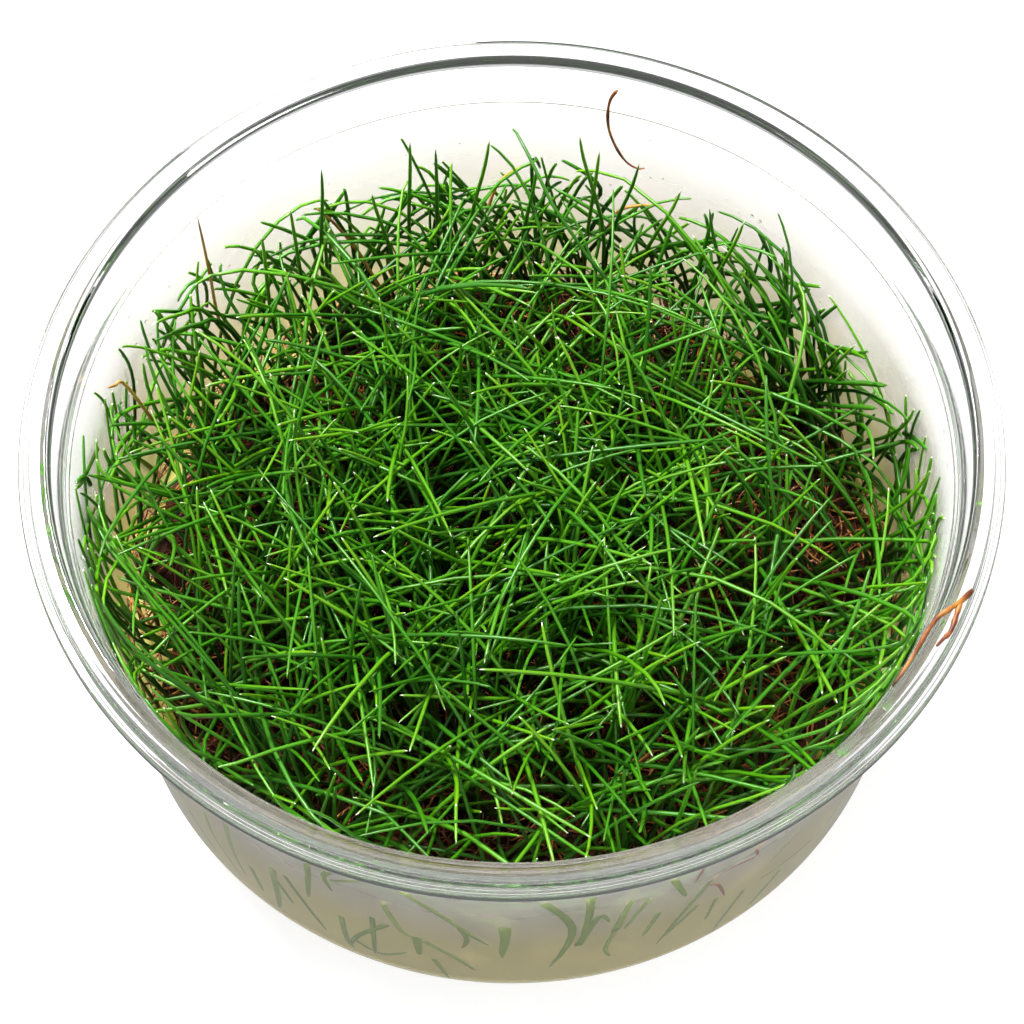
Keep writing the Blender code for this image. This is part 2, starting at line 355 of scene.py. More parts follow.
def turned(name, profile, steps, *finishes, finish_of=None):
    """Turns a profile that runs from the axis back to the axis; finish_of gives each band's material."""
    turn = np.linspace(0.0, 2.0 * np.pi, steps, endpoint=False)
    rings = np.array(profile[1:-1])
    points = np.empty((len(rings), steps, 3))
    points[..., 0] = rings[:, :1] * np.cos(turn)
    points[..., 1] = rings[:, :1] * np.sin(turn)
    points[..., 2] = rings[:, 1:]
    points = points.reshape(-1, 3)
    first, last = len(points), len(points) + 1
    points = np.vstack([points, [[0.0, 0.0, profile[0][1]], [0.0, 0.0, profile[-1][1]]]]) * MM
    faces, bands = [], []
    for i in range(steps):
        j = (i + 1) % steps
        faces.append((first, i, j))
        bands.append(0)
        for k in range(len(rings) - 1):
            a, b = k * steps, (k + 1) * steps
            faces.append((a + i, b + i, b + j, a + j))
            bands.append(k + 1)
        end = (len(rings) - 1) * steps
        faces.append((end + i, last, end + j))
        bands.append(len(rings))
    made = mesh_object(name, points, faces, *finishes)
    if finish_of:
        made.data.polygons.foreach_set("material_index", [finish_of(band) for band in bands])
    made.data.set_sharp_from_angle(angle=math.radians(35.0))
    return made


def strands(name, paths, gauges, traits, finish, sides=LEAF_SIDES):
    """Round strands along paths (strand, station, xyz) in millimetres, pointed or closed at both ends."""
    count, stations, _ = paths.shape
    tangent = np.gradient(paths, axis=1)
    tangent /= np.linalg.norm(tangent, axis=2, keepdims=True) + 1e-12
    chord = paths[:, -1] - paths[:, 0]
    side = np.cross(chord, (0.0, 0.0, 1.0))
    flat = np.linalg.norm(side, axis=1) < 1e-6
    side[flat] = (1.0, 0.0, 0.0)
    side = side[:, None, :] - tangent * (side[:, None, :] * tangent).sum(axis=2, keepdims=True)
    side /= np.linalg.norm(side, axis=2, keepdims=True) + 1e-12
    across = np.cross(tangent, side)
    turn = np.linspace(0.0, 2.0 * np.pi, sides, endpoint=False)
    ring = side[:, :, None, :] * np.cos(turn)[None, None, :, None]
    ring = ring + across[:, :, None, :] * np.sin(turn)[None, None, :, None]
    points = paths[:, :, None, :] + ring * gauges[:, :, None, None]
    body = points.reshape(count, stations * sides, 3)
    ends = np.stack([paths[:, 0], paths[:, -1]], axis=1)
    points = np.concatenate([body, ends], axis=1).reshape(-1, 3) * MM
    per_strand = stations * sides + 2
    quads, tris = [], []
    for k in range(stations - 1):
        for s in range(sides):
            t = (s + 1) % sides
            quads.append((k * sides + s, k * sides + t, (k + 1) * sides + t, (k + 1) * sides + s))
    for s in range(sides):
        t = (s + 1) % sides
        tris.append((per_strand - 2, t, s))
        tris.append((per_strand - 1, (stations - 1) * sides + s, (stations - 1) * sides + t))
    offset = (np.arange(count) * per_strand)[:, None, None]
    all_quads = (np.array(quads)[None] + offset).reshape(-1, 4)
    all_tris = (np.array(tris)[None] + offset).reshape(-1, 3)
    mesh = bpy.data.meshes.new(name)
    mesh.vertices.add(len(points))
    mesh.vertices.foreach_set("co", points.ravel())
    loops = np.concatenate([all_quads.ravel(), all_tris.ravel()])
    mesh.loops.add(len(loops))
    mesh.loops.foreach_set("vertex_index", loops)
    starts = np.concatenate([
        np.arange(len(all_quads)) * 4,
        len(all_quads) * 4 + np.arange(len(all_tris)) * 3,
    ])
    mesh.polygons.add(len(starts))
    mesh.polygons.foreach_set("loop_start", starts)
    mesh.update(calc_edges=True)
    mesh.validate()
    mesh.shade_smooth()
    colours = np.ones((count, per_strand, 4), dtype=np.float32)
    along = np.repeat(traits["along"][:, :, None], sides, axis=2).reshape(count, -1)
    colours[:, : stations * sides, 0] = along
    colours[:, -2, 0] = traits["along"][:, 0]
    colours[:, -1, 0] = traits["along"][:, -1]
    colours[:, :, 1] = traits["chance"][:, None]
    colours[:, :, 2] = traits["dry"][:, None]
    layer = mesh.color_attributes.new("traits", "FLOAT_COLOR", "POINT")
    layer.data.foreach_set("color", colours.ravel())
    mesh.materials.append(finish)
    made = bpy.data.objects.new(name, mesh)
    bpy.context.scene.collection.objects.link(made)
    return made


def smooth_route(points, count):
    """Evenly numbered points on a smooth curve through the route's own points."""
    points = [np.array(point, dtype=float) for point in points]
    padded = [points[0] * 2 - points[1], *points, points[-1] * 2 - points[-2]]
    spans = len(points) - 1
    route = []
    for i in range(count):
        along = spans * i / (count - 1)
        span = min(int(along), spans - 1)
        t = along - span
        a, b, c, d = padded[span : span + 4]
        route.append(
            0.5 * ((2 * b) + (c - a) * t + (2 * a - 5 * b + 4 * c - d) * t**2 + (3 * b - a - 3 * c + d) * t**3)
        )
    return np.array(route)


# Cup
def grooved(start, end, count):
    """A line of the rim's profile from start to end, with shallow moulded grooves along it."""
    points = []
    for i in range(count):
        for share, drop in ((0.2, 0.0), (0.4, RIM_GROOVE), (0.6, RIM_GROOVE), (0.8, 0.0)):
            along = (i + share) / count
            radius = start[0] + (end[0] - start[0]) * along
            points.append((radius, start[1] + (end[1] - start[1]) * along - drop))
    return points


def add_cup():
    inner_round = FOOT_ROUND - WALL
    floor_corner = FLOOR + inner_round
    inside = [(0.0, FLOOR), (20.0, FLOOR)]
    inside += arc((float(inner_radius(floor_corner)) - inner_round, floor_corner), inner_round, -90, 0)
    for share in (0.25, 0.5, 0.75):
        height = floor_corner + (LEDGE_HEIGHT - floor_corner) * share
        inside.append((float(inner_radius(height)), height))
    ledge = float(inner_radius(LEDGE_HEIGHT))
    inside.append((ledge, LEDGE_HEIGHT - 0.15))
    misted_bands = len(inside) - 1
    inside += [(ledge + 0.04, LEDGE_HEIGHT + 0.02), (ledge + 0.12, LEDGE_HEIGHT + 0.02)]
    inside += [(ledge + 0.17, LEDGE_HEIGHT - 0.16), (ledge + 0.23, LEDGE_HEIGHT - 0.16)]
    inside += [(COLLAR_FOOT_RADIUS - 0.5, LEDGE_HEIGHT + 0.14), (COLLAR_FOOT_RADIUS - 0.36, LEDGE_HEIGHT + 0.3)]
    inside.append((COLLAR_TOP_RADIUS - 0.05, CUP_HEIGHT - 0.55))
    rim = arc((COLLAR_TOP_RADIUS + 0.22, CUP_HEIGHT - 0.22), 0.22, 170, 90, 5)
    rim += arc((COLLAR_TOP_RADIUS + 0.32, CUP_HEIGHT - 0.2), 0.2, 90, 50, 3)
    slope = ((COLLAR_TOP_RADIUS + 0.55, CUP_HEIGHT - 0.07), (STEP_RADIUS - 0.3, STEP_HEIGHT + 0.08))
    rim += grooved(*slope, count=2)
    rim += arc((STEP_RADIUS - 0.2, STEP_HEIGHT - 0.15), 0.2, 75, 5, 4)
    rim += [(STEP_RADIUS + 0.06, FLANGE_TOP + 0.22), (STEP_RADIUS + 0.14, FLANGE_TOP + 0.04)]
    rim += grooved((STEP_RADIUS + 0.2, FLANGE_TOP), (FLANGE_RADIUS - 0.32, FLANGE_TOP), count=2)
    rim += arc((FLANGE_RADIUS - 0.28, FLANGE_TOP - 0.26), 0.28, 80, 0, 4)
    rim += [(FLANGE_RADIUS - 0.1, FLANGE_TOP - 0.45), (FLANGE_RADIUS - 0.1, FLANGE_TOP - 0.6)]
    rim += arc((FLANGE_RADIUS - 0.28, FLANGE_BOTTOM + 0.28), 0.28, 0, -90, 4)
    collar = COLLAR_TOP_RADIUS + COLLAR_WALL
    outside = [(collar + 0.4, FLANGE_BOTTOM + 0.02), (collar, FLANGE_BOTTOM + 0.25)]
    outside += [(SHOULDER_RADIUS + 0.3, LEDGE_HEIGHT + 0.1), (SHOULDER_RADIUS + 0.24, LEDGE_HEIGHT - 0.3)]
    outside += [(SHOULDER_RADIUS + 0.15, SHOULDER_HEIGHT + 0.15), (SHOULDER_RADIUS, SHOULDER_HEIGHT - 0.1)]
    for share in (0.75, 0.5, 0.25):
        height = FOOT_ROUND + (SHOULDER_HEIGHT - FOOT_ROUND) * share
        outside.append((outer_radius(height), height))
    outside += arc((outer_radius(FOOT_ROUND) - FOOT_ROUND, FOOT_ROUND), FOOT_ROUND, 0, -90)
    outside += [(20.0, 0.0), (0.0, 0.0)]
    cup = turned(
        "cup_shell",
        inside + rim + outside,
        CUP_STEPS,
        clear_plastic(),
        misted_plastic(),
        finish_of=lambda band: 1 if band < misted_bands else 0,
    )
    cup.visible_shadow = False
    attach(cup, "root")
    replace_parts(cup, "cup")


def add_gel():
    bottom = FLOOR + GAP
    corner = FOOT_ROUND - WALL
    side = float(inner_radius(bottom + corner)) - GAP
    edge = float(inner_radius(GEL_TOP)) - GAP
    profile = [(0.0, GEL_TOP - 0.3), (edge - 2.0, GEL_TOP - 0.3), (edge - 0.6, GEL_TOP - 0.2), (edge, GEL_TOP)]
    profile += [(side + (edge - side) * 0.5, (GEL_TOP + bottom + corner) / 2)]
    profile += arc((side - corner, bottom + corner), corner, 0, -90)
    profile.append((0.0, bottom))
    gel = turned("jelly_layer", profile, CUP_STEPS, jelly())
    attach(gel, "root")
    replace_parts(gel, "culture_gel")


# Root mat
FELT_RADIUS = 39.3
FELT_STEP = 1.0
FIBRES = 2500
FIBRE_STATIONS = 9
WALL_FIBRES = 160


def add_root_mat():
    """A lumpy felt, with fine roots that lie over it and run down between jelly and wall."""
    draw = np.random.default_rng(SEED + 1)
    edge = float(inner_radius(MAT_TOP)) - GAP
    turn = np.linspace(0.0, 2.0 * np.pi, 240, endpoint=False)
    rim = FELT_RADIUS + 1.1 * np.sin(5 * turn + 0.6) + 0.8 * np.sin(13 * turn) + 0.5 * np.sin(31 * turn + 2.0)
    shares = np.linspace(0.0, 1.0, round(FELT_RADIUS / FELT_STEP) + 1)[1:]
    points = []
    for share in shares:
        for angle, radius in zip(turn, rim * share):
            x, y = radius * math.cos(angle), radius * math.sin(angle)
            lump = math.sin(x * 0.9 + math.sin(y * 0.7)) * math.cos(y * 0.8 + 1.3 * math.sin(x * 0.5))
            points.append((x, y, MAT_TOP - 0.25 + 0.3 * lump + draw.uniform(-0.12, 0.12)))
    for out, height in ((0.25, MAT_TOP - 0.6), (0.3, MAT_TOP - 1.4), (0.0, GEL_TOP + GAP)):
        for angle, radius in zip(turn, rim + out):
            points.append((radius * math.cos(angle), radius * math.sin(angle), height))
    rings = len(shares) + 3
    points += [(0.0, 0.0, MAT_TOP - 0.2), (0.0, 0.0, GEL_TOP + GAP)]
    top, bottom = len(points) - 2, len(points) - 1
    faces = []
    count = len(turn)
    for i in range(count):
        j = (i + 1) % count
        faces.append((top, i, j))
        for k in range(rings - 1):
            faces.append((k * count + i, (k + 1) * count + i, (k + 1) * count + j, k * count + j))
        faces.append(((rings - 1) * count + i, bottom, (rings - 1) * count + j))
    felt = mesh_object("root_felt", np.array(points) * MM, faces, mat_soil())
    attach(felt, "root")
    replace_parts(felt, "root_mat")

    t = np.linspace(0.0, 1.0, FIBRE_STATIONS)
    distance = edge * np.sqrt(draw.uniform(0.0, 0.93, FIBRES))
    angle = draw.uniform(0.0, 2.0 * np.pi, FIBRES)
    heading = draw.uniform(0.0, 2.0 * np.pi, FIBRES)
    length = draw.uniform(4.0, 15.0, FIBRES)
    curl = draw.uniform(-1.6, 1.6, FIBRES)
    turning = heading[:, None] + curl[:, None] * t + 0.5 * np.sin(6.0 * t + angle[:, None])
    step = length[:, None] / (FIBRE_STATIONS - 1)
    x = distance[:, None] * np.cos(angle)[:, None] + np.cumsum(np.cos(turning), axis=1) * step
    y = distance[:, None] * np.sin(angle)[:, None] + np.cumsum(np.sin(turning), axis=1) * step
    arch = draw.uniform(0.0, 1.0, FIBRES) ** 2 * 3.4
    z = MAT_TOP + draw.uniform(-0.25, 0.5, FIBRES)[:, None] + arch[:, None] * np.sin(np.pi * t)
    radius = np.hypot(x, y)
    limit = edge - 0.5
    squeeze = np.minimum(1.0, limit / radius)
    paths = np.stack([x * squeeze, y * squeeze, z], axis=2)
    gauge = draw.uniform(0.07, 0.17, FIBRES)[:, None] * np.interp(t, (0.0, 0.2, 1.0), (0.8, 1.0, 0.35))
    traits = {
        "along": np.tile(t, (FIBRES, 1)),
        "chance": draw.uniform(0.0, 1.0, FIBRES),
        "dry": np.zeros(FIBRES),
    }
    fibres = strands("root_fibres", paths, gauge, traits, root_fibre(), sides=4)
    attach(fibres, "root")

    angle = draw.uniform(0.0, 2.0 * np.pi, WALL_FIBRES)
    wander = np.cumsum(draw.normal(0.0, 0.018, (WALL_FIBRES, FIBRE_STATIONS)), axis=1)
    depth = draw.uniform(2.0, 6.5, WALL_FIBRES)
    z = MAT_TOP - depth[:, None] * t - 0.6
    around = angle[:, None] + wander + draw.uniform(-0.08, 0.08, WALL_FIBRES)[:, None] * t
    radius = outer_radius(z) - WALL - 0.15
    paths = np.stack([radius * np.cos(around), radius * np.sin(around), z], axis=2)
    gauge = draw.uniform(0.06, 0.1, WALL_FIBRES)[:, None] * np.interp(t, (0.0, 1.0), (1.0, 0.5))
    traits = {
        "along": np.tile(t, (WALL_FIBRES, 1)),
        "chance": draw.uniform(0.6, 1.0, WALL_FIBRES),
        "dry": np.zeros(WALL_FIBRES),
    }
    runners = strands("wall_fibres", paths, gauge, traits, root_fibre(), sides=4)
    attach(runners, "root")


# Grass: the canopy's height in the middle, and by the angle round its edge
MIDDLE_HEIGHT = 35.0
EDGE_RADIUS = 41.0
EDGE_ANGLES = (-90.0, -30.0, 0.0, 14.0, 30.0, 42.0, 55.0, 90.0, 120.0, 145.0, 165.0, 200.0)
EDGE_HEIGHTS = (36.0, 35.0, 34.0, 31.0, 22.0, 29.0, 29.0, 30.0, 29.0, 33.0, 36.0, 37.0)
TALL_SHARE = 0.03
DRY_SHARE = 0.0015
WALL_LEAVES = 110
WALL_PRESS = 0.16

# Gaps in the grass: x, y and radius
GAPS = (
    (19.6, 7.5, 4.5),
    (20.3, -7.3, 5.5),
    (13.7, -9.7, 4.0),
    (11.9, 12.5, 3.5),
    (27.3, -21.6, 5.5),
    (36.1, -14.5, 4.5),
    (19.7, -28.5, 4.5),
    (26.1, 5.0, 3.5),
    (36.5, 6.0, 4.0),
    (16.7, 31.0, 4.5),
    (27.0, 27.0, 4.0),
    (-3.4, -23.9, 3.0),
    (-23.0, -2.5, 3.5),
    (-31.0, 7.5, 3.5),
    (-38.0, 12.0, 4.0),
    (-20.5, 21.5, 3.0),
    (-2.0, 4.0, 2.5),
    (-41.0, -3.0, 4.0),
    (-38.0, -14.0, 3.5),
)

# Tall leaves behind: angle at the foot, angle at the tip, and height of the tip
TALL_LEAVES = (
    (134.0, 131.3, 34.5),
    (127.0, 125.8, 36.0),
    (123.5, 119.9, 40.0),
    (110.0, 112.1, 32.0),
    (107.5, 105.6, 39.8),
    (102.5, 101.7, 37.2),
    (97.5, 93.4, 38.0),
    (88.5, 86.2, 32.5),
    (74.0, 79.8, 39.6),
    (77.5, 76.6, 37.4),
    (74.0, 70.3, 36.6),
    (68.0, 63.3, 34.6),
    (51.0, 58.4, 33.4),
    (55.0, 52.2, 34.8),
)

# Leaves pressed on the front of the wall: radius, and a route of angles round the cup and heights
PRESSED_LEAVES = (
    (0.35, ((-142, 12), (-140, 8), (-137, 5))),
    (0.3, ((-136, 20), (-136, 12), (-132, 4))),
    (0.4, ((-131, 24), (-132, 14), (-131, 5))),
    (0.45, ((-129, 13), (-128, 5))),
    (0.6, ((-124, 19), (-125, 8), (-126, 2))),
    (0.3, ((-124, 15), (-122, 9))),
    (0.35, ((-122, 19), (-119, 10), (-117, 5))),
    (0.45, ((-117, 29), (-118, 21), (-119, 14))),
    (0.45, ((-114, 29), (-115, 26), (-114, 21))),
    (0.25, ((-114, 26), (-108, 31))),
    (0.4, ((-114, 14), (-114, 6), (-113, 3))),
    (0.35, ((-109, 18), (-110, 3))),
    (0.4, ((-107, 17), (-112, 9), (-114, 3))),
    (0.3, ((-113, 7), (-109, 5), (-104, 9))),
    (0.4, ((-107, 24), (-105, 16), (-102, 14))),
    (0.45, ((-104, 30), (-99, 24), (-95, 18), (-92, 14))),
    (0.5, ((-102, 14), (-98, 10), (-94, 4))),
    (0.75, ((-103, 15), (-103, 7))),
    (0.3, ((-101, 8), (-99, 1.5))),
    (0.35, ((-97, 21), (-96, 17), (-97, 13))),
    (0.9, ((-91, 22), (-91, 16), (-92, 6))),
    (0.65, ((-86, 30), (-83, 24), (-82, 18), (-84, 9), (-88, 2))),
    (0.6, ((-80, 30), (-80, 23), (-81, 14))),
    (0.55, ((-81, 14), (-79, 22), (-78, 23), (-76, 17))),
    (0.6, ((-76, 17), (-74, 29))),
    (0.3, ((-76, 17), (-77, 11), (-76, 7))),
    (0.3, ((-72, 25), (-75, 16))),
    (0.4, ((-70, 19), (-72, 11))),
    (0.5, ((-69, 29), (-66, 20))),
    (0.35, ((-63, 23), (-66, 16), (-70, 5))),
    (0.35, ((-64, 16), (-69, 8))),
    (0.3, ((-61, 15), (-62, 8))),
    (0.3, ((-56, 12), (-60, 1.5))),
    (0.35, ((-48, 21), (-53, 16))),
    (0.3, ((-43, 10), (-54, 12))),
    (0.35, ((-49, 9), (-54, 3))),
)
PRESSED_ROOTS = (
    (0.28, ((-63.5, 22), (-61.5, 20), (-59.5, 14))),
    (0.22, ((-54.5, 27), (-56.5, 26), (-56, 23), (-60, 24), (-63, 23))),
    (0.22, ((-64.5, 30), (-65, 28), (-65.5, 25))),
)

# Marked leaves by their routes; a point is an angle round the cup, a radius and a height
ARCHED_LEAVES = (
    ((31.0, 38.0, 10.2), (33.4, 41.6, 17.0), (36.6, 42.3, 22.9), (43.0, 42.4, 27.4), (48.9, 42.2, 29.4)),
    ((37.5, 36.5, 10.2), (39.4, 40.6, 16.0), (42.9, 41.2, 23.9), (48.2, 41.2, 28.0), (53.8, 41.0, 29.9)),
    ((38.5, 35.0, 10.2), (41.5, 39.4, 17.0), (46.5, 40.2, 24.5), (51.0, 40.4, 28.5), (55.5, 40.2, 29.8)),
    ((38.0, 35.0, 10.2), (34.0, 40.0, 17.5), (26.2, 41.0, 24.5), (19.5, 41.0, 31.5), (15.9, 40.8, 35.4)),
    ((40.0, 34.5, 10.2), (35.0, 40.0, 16.5), (27.2, 41.4, 23.2), (20.5, 41.5, 30.4), (16.9, 41.4, 34.2)),
    ((37.0, 36.0, 10.2), (33.3, 41.4, 17.4), (31.3, 42.0, 23.2), (28.5, 42.2, 29.3)),
    ((138.0, 36.0, 10.2), (142.9, 41.2, 27.6), (148.3, 42.0, 32.2), (154.6, 42.2, 36.6)),
)
ARCH_COPIES = ((0.0, 0.0, 0.0), (1.7, 0.7, 1.2), (-1.5, 1.3, 2.4))
DEAD_LEAVES = (
    ((139.0, 40.0, 12.0), (139.2, 42.8, 21.0), (139.3, 43.2, 29.2), (139.3, 43.6, 36.2), (139.5, 43.8, 41.6)),
    ((94.0, 41.6, 22.5), (92.3, 42.8, 26.2), (89.6, 43.2, 28.7), (86.6, 43.4, 29.8)),
    ((75.0, 41.4, 22.0), (73.6, 42.2, 24.6), (70.5, 42.6, 26.2), (66.7, 42.8, 27.4)),
    ((161.0, 40.0, 22.0), (162.2, 43.0, 32.4), (164.2, 43.4, 34.6), (166.4, 43.5, 36.7)),
)


def canopy_height(x, y):
    """Height that the mass of leaf tips reaches: even in the middle, and its own all round the edge."""
    angle = np.degrees(np.arctan2(y, x))
    edge = np.interp(angle, EDGE_ANGLES, EDGE_HEIGHTS, period=360.0)
    share = np.clip(np.hypot(x, y) / EDGE_RADIUS, 0.0, 1.0) ** 2
    return MIDDLE_HEIGHT + (edge - MIDDLE_HEIGHT) * share


def soft_limit(value, limit, softness):
    """Leaves a value alone until it comes near the limit, which it then closes in on without a kink."""
    over = np.clip(value - (limit - softness), 0.0, None)
    return value - over + softness * (1.0 - np.exp(-over / softness))


def leaf_paths(foot, heading, lean, length, bend, twist):
    """Leaves that lean from upright and bend further over along their length, kept inside the cup."""
    t = np.array(LEAF_STATIONS)
    middle = (t[1:] + t[:-1]) / 2
    tilt = lean[:, None] + bend[:, None] * middle**1.2
    turn = heading[:, None] + twist[:, None] * middle
    step = np.diff(t) * length[:, None]
    moves = np.stack([np.sin(tilt) * np.cos(turn), np.sin(tilt) * np.sin(turn), np.cos(tilt)], axis=2)
    path = np.cumsum(moves * step[:, :, None], axis=1)
    path = np.concatenate([np.zeros((len(foot), 1, 3)), path], axis=1) + foot[:, None, :]
    path[:, :, 2] = soft_limit(path[:, :, 2], TOP_LIMIT, TOP_SOFTNESS)
    radius = np.hypot(path[:, :, 0], path[:, :, 1])
    limit = inner_radius(path[:, :, 2]) - WALL_CLEARANCE
    limit = np.where(path[:, :, 2] > LEDGE_HEIGHT - 1.0, inner_radius(LEDGE_HEIGHT) - WALL_CLEARANCE, limit)
    squeeze = soft_limit(radius, limit, WALL_SOFTNESS) / np.maximum(radius, 1e-6)
    path[:, :, 0] *= squeeze
    path[:, :, 1] *= squeeze
    return path


def thinness(x, y):
    """0 where the grass is full, and up to 1 in the middle of its gaps."""
    bare = np.zeros(len(x))
    for gap_x, gap_y, radius in GAPS:
        bare = np.maximum(bare, np.exp(-((x - gap_x) ** 2 + (y - gap_y) ** 2) / radius**2))
    return bare


def add_leaves(name, paths, gauge, dry, finish, draw, sides=LEAF_SIDES):
    count = len(paths)
    traits = {
        "along": np.tile(np.array(LEAF_STATIONS), (count, 1)),
        "chance": draw.uniform(0.0, 1.0, count),
        "dry": dry,
    }
    leaves = strands(name, paths, gauge[:, None] * np.array(LEAF_GAUGE), traits, finish, sides)
    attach(leaves, "root")
    return leaves


def add_tuft(node, finish, draw):
    low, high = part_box(node)
    centre = (np.array(low) + np.array(high)) / 2 / MM
    count = LEAVES_PER_TUFT
    clumps = draw.uniform(-5.8, 5.8, (9, 2)) + centre[:2]
    pick = draw.integers(0, len(clumps), count)
    foot = np.empty((count, 3))
    foot[:, :2] = clumps[pick] + draw.normal(0.0, 0.95, (count, 2))
    foot[:, 2] = MAT_TOP - 0.5
    distance = np.hypot(foot[:, 0], foot[:, 1])
    limit = float(inner_radius(MAT_TOP)) - 1.0
    foot[:, :2] *= np.minimum(1.0, limit / distance)[:, None]
    foot = foot[draw.uniform(0.0, 1.0, count) > 0.9 * thinness(foot[:, 0], foot[:, 1])]
    count = len(foot)
    heading = draw.uniform(0.0, 2.0 * np.pi, count)
    lean = np.radians(6.0 + 42.0 * draw.beta(1.3, 1.3, count))
    bend = np.radians(draw.normal(44.0, 22.0, count))
    twist = draw.normal(0.0, 0.6, count)
    length = draw.uniform(30.0, 54.0, count)
    spare = np.where(draw.uniform(0.0, 1.0, count) < TALL_SHARE, 6.0, draw.uniform(-6.0, 1.5, count))
    paths = leaf_paths(foot, heading, lean, length, bend, twist)
    for _ in range(3):
        tip = paths[:, -1]
        room = canopy_height(tip[:, 0], tip[:, 1]) + spare - foot[:, 2]
        length = length * np.minimum(1.0, room / np.maximum(tip[:, 2] - foot[:, 2], 1.0))
        paths = leaf_paths(foot, heading, lean, length, bend, twist)
    dry = (draw.uniform(0.0, 1.0, count) < DRY_SHARE).astype(float)
    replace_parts(add_leaves("leaves_" + node, paths, draw.uniform(*LEAF_RADIUS, count), dry, finish, draw), node)


def pressed(angle, height, gauge):
    """Paths held flat on the inside of the wall, which stand a little way into its condensation."""
    radius = outer_radius(height) - WALL - gauge[:, None] + WALL_PRESS
    return np.stack([radius * np.cos(angle), radius * np.sin(angle), height], axis=2)


def add_wall_leaves(fresh, wet_painted_reflection, draw):
    """Leaves that the condensation holds flat against the inside of the wall."""
    count = WALL_LEAVES
    t = np.array(LEAF_STATIONS)
    angle = np.radians(draw.uniform(-40.0, 215.0, count))
    top = canopy_height(EDGE_RADIUS * np.cos(angle), EDGE_RADIUS * np.sin(angle))
    low = 4.0 + (top - 9.0) * draw.uniform(0.0, 1.0, count)
    high = np.minimum(low + draw.uniform(4.0, 14.0, count), top)
    z = low[:, None] + (high - low)[:, None] * t
    slant = draw.normal(0.0, 0.13, count)
    sway = draw.normal(0.0, 0.02, count)
    around = angle[:, None] + slant[:, None] * t + sway[:, None] * np.sin(np.pi * t)
    gauge = draw.uniform(0.18, 0.3, count)
    add_leaves("leaves_on_wall", pressed(around, z, gauge), gauge, np.zeros(count), fresh, draw, sides=8)

    stations = len(LEAF_STATIONS)
    flat = np.stack([smooth_route(route, stations) for _, route in PRESSED_LEAVES])
    gauge = np.array([radius for radius, _ in PRESSED_LEAVES])
    paths = pressed(np.radians(flat[:, :, 0]), flat[:, :, 1], gauge)
    # The leaves pressed in front are greyed by painted reflection in their material.
    add_leaves("leaves_pressed_in_front", paths, gauge, np.zeros(len(paths)), wet_painted_reflection, draw, sides=10)


def add_marked_leaves(finish, draw):
    """The leaves that stand out by their place: the tall ones behind, the arcs, and the dead ones."""
    stations = len(LEAF_STATIONS)
    routes, gauges, dry = [], [], []
    for foot_angle, tip_angle, tip_height in TALL_LEAVES:
        route = (
            (foot_angle, 36.0, MAT_TOP - 0.5),
            (foot_angle * 0.9 + tip_angle * 0.1, 38.4, MAT_TOP + (tip_height - MAT_TOP) * 0.5),
            (foot_angle * 0.2 + tip_angle * 0.8, 40.3, MAT_TOP + (tip_height - MAT_TOP) * 0.85),
            (tip_angle, 41.0, tip_height),
        )
        routes.append(route)
        gauges.append(0.23)
        dry.append(0.0)
    for route in ARCHED_LEAVES:
        for turn, inward, drop in ARCH_COPIES:
            routes.append([(angle + turn, radius - inward, height - drop) for angle, radius, height in route])
            gauges.append(0.25)
            dry.append(0.0)
    for route in DEAD_LEAVES:
        routes.append(route)
        gauges.append(0.19)
        dry.append(1.0)
    paths = np.stack([smooth_route(around_cup(route), stations) for route in routes])
    add_leaves("leaves_marked", paths, np.array(gauges), np.array(dry), finish, draw)


def add_grass():
    draw = np.random.default_rng(SEED)
    finish = grass_leaf()
    for node in sorted(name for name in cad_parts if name.startswith("tuft_")):
        add_tuft(node, finish, draw)
    add_wall_leaves(finish, wet_leaf_painted_reflection(), draw)
    add_marked_leaves(finish, draw)


# Loose roots: along each route, a point is an angle round the cup, a radius and a height
RIM_ROOT_ROUTE = (
    (-21.4, 48.75, 44.75),
    (-23.2, 48.25, 45.05),
    (-25.2, 47.45, 45.35),
    (-26.6, 46.75, 45.10),
    (-28.4, 46.40, 44.40),
    (-31.5, 46.25, 43.50),
    (-34.0, 46.20, 43.00),
    (-36.2, 46.15, 42.60),
)
RIM_ROOT_BRANCH = (
    (-23.6, 48.10, 45.10),
    (-25.6, 48.30, 45.00),
    (-27.6, 48.45, 44.90),
    (-29.0, 48.15, 45.00),
    (-30.2, 47.95, 45.10),
)
WALL_ROOT_ROUTE = (
    (75.6, 45.60, 42.40),
    (76.4, 45.50, 40.80),
    (76.6, 44.95, 39.10),
    (76.3, 44.65, 36.40),
    (75.2, 44.50, 33.60),
    (73.6, 44.25, 31.60),
    (71.9, 44.15, 30.90),
    (70.7, 44.20, 31.20),
)


def around_cup(route):
    places = []
    for angle, radius, height in route:
        turn = math.radians(angle)
        places.append((radius * math.cos(turn), radius * math.sin(turn), height))
    return places


def add_loose_root(name, node, routes, radius, finish):
    """One object of one or two strands; a side branch starts inside the main strand."""
    stations = 26
    paths = np.stack([smooth_route(around_cup(route), stations) for route in routes])
    t = np.linspace(0.0, 1.0, stations)
    wobble = 1.0 + 0.12 * np.sin(23.0 * t) + 0.08 * np.sin(41.0 * t + 1.0)
    gauge = np.stack([radius * wobble * np.interp(t, (0.0, 0.06, 0.6, 1.0), (0.75, 1.15, 0.9, 0.5))] * len(routes))
    traits = {
        "along": np.tile(t, (len(routes), 1)),
        "chance": np.full(len(routes), 0.5),
        "dry": np.ones(len(routes)),
    }
    root = strands(name, paths, gauge, traits, finish, sides=8)
    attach(root, "root")
    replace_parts(root, node)


